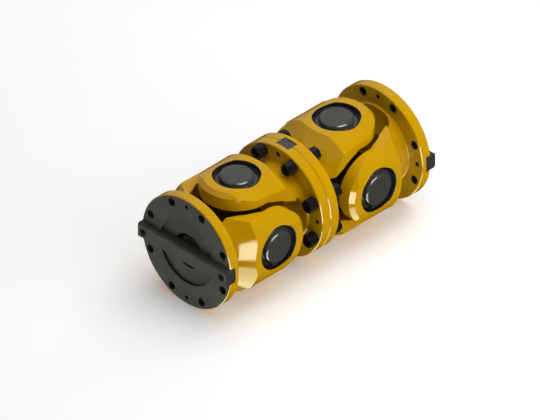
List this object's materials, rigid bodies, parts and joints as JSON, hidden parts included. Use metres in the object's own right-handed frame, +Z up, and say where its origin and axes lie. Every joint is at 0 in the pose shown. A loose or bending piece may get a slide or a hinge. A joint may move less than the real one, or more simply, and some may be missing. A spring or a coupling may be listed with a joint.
{
  "type": "universal joint shaft",
  "caption": "Short heavy universal joint shaft: flanged fork yokes on roller bearing crosses, bolted back to back at centre flanges, with face keys that carry the torque.",
  "frame": {"origin": "centre of the input flange's mating face", "axes": "+X along the shaft from the input flange to the output flange, +Y to the left seen from the input end, through the end yokes' bearings, +Z up, through the centre yokes' bearings"},
  "size_m": [0.67, 0.285, 0.285],
  "materials": {
    "yellow_paint": "semi-gloss machine enamel over turned and milled steel",
    "key_steel": "ground and darkened",
    "bearing_cup": "darkened, satin with a polished rounded edge",
    "black_fastener": "black oxide",
    "forged_steel": "forged body with ground trunnions",
    "roller_steel": "ground",
    "circlip_steel": "phosphated spring steel",
    "seal_rubber": "moulded nitrile",
    "nipple_steel": "zinc plated"
  },
  "bodies": {
    "input_yoke": {"input_flange_yoke": "yellow_paint", "input_face_key": "key_steel", "input_key_screws": "black_fastener", "input_left_cup": "bearing_cup", "input_left_rollers": "roller_steel", "input_left_thrust_washer": "roller_steel", "input_left_lip_seal": "seal_rubber", "input_left_circlip": "circlip_steel", "input_right_cup": "bearing_cup", "input_right_rollers": "roller_steel", "input_right_thrust_washer": "roller_steel", "input_right_lip_seal": "seal_rubber", "input_right_circlip": "circlip_steel"},
    "input_spider": {"input_cross": "forged_steel", "input_grease_nipple": "nipple_steel"},
    "centre": {"centre_yoke_input_side": "yellow_paint", "centre_yoke_output_side": "yellow_paint", "centre_face_key": "key_steel", "centre_key_screws": "black_fastener", "centre_flange_bolts": "black_fastener", "centre_flange_lock_nuts": "black_fastener", "centre_input_upper_cup": "bearing_cup", "centre_input_upper_rollers": "roller_steel", "centre_input_upper_thrust_washer": "roller_steel", "centre_input_upper_lip_seal": "seal_rubber", "centre_input_upper_circlip": "circlip_steel", "centre_input_lower_cup": "bearing_cup", "centre_input_lower_rollers": "roller_steel", "centre_input_lower_thrust_washer": "roller_steel", "centre_input_lower_lip_seal": "seal_rubber", "centre_input_lower_circlip": "circlip_steel", "centre_output_upper_cup": "bearing_cup", "centre_output_upper_rollers": "roller_steel", "centre_output_upper_thrust_washer": "roller_steel", "centre_output_upper_lip_seal": "seal_rubber", "centre_output_upper_circlip": "circlip_steel", "centre_output_lower_cup": "bearing_cup", "centre_output_lower_rollers": "roller_steel", "centre_output_lower_thrust_washer": "roller_steel", "centre_output_lower_lip_seal": "seal_rubber", "centre_output_lower_circlip": "circlip_steel"},
    "output_spider": {"output_cross": "forged_steel", "output_grease_nipple": "nipple_steel"},
    "output_yoke": {"output_flange_yoke": "yellow_paint", "output_face_key": "key_steel", "output_key_screws": "black_fastener", "output_left_cup": "bearing_cup", "output_left_rollers": "roller_steel", "output_left_thrust_washer": "roller_steel", "output_left_lip_seal": "seal_rubber", "output_left_circlip": "circlip_steel", "output_right_cup": "bearing_cup", "output_right_rollers": "roller_steel", "output_right_thrust_washer": "roller_steel", "output_right_lip_seal": "seal_rubber", "output_right_circlip": "circlip_steel"}
  },
  "joints": [
    {"name": "input_yoke_trunnions", "type": "hinge", "parent": "input_yoke", "child": "input_spider", "pos_m": [0.16, 0, 0], "axis": [0, 1, 0], "range_deg": [-10, 10]},
    {"name": "centre_input_trunnions", "type": "hinge", "parent": "input_spider", "child": "centre", "pos_m": [0.16, 0, 0], "axis": [0, 0, 1], "range_deg": [-10, 10]},
    {"name": "centre_output_trunnions", "type": "hinge", "parent": "centre", "child": "output_spider", "pos_m": [0.48, 0, 0], "axis": [0, 0, 1], "range_deg": [-10, 10]},
    {"name": "output_yoke_trunnions", "type": "hinge", "parent": "output_spider", "child": "output_yoke", "pos_m": [0.48, 0, 0], "axis": [0, 1, 0], "range_deg": [-10, 10]}
  ]
}
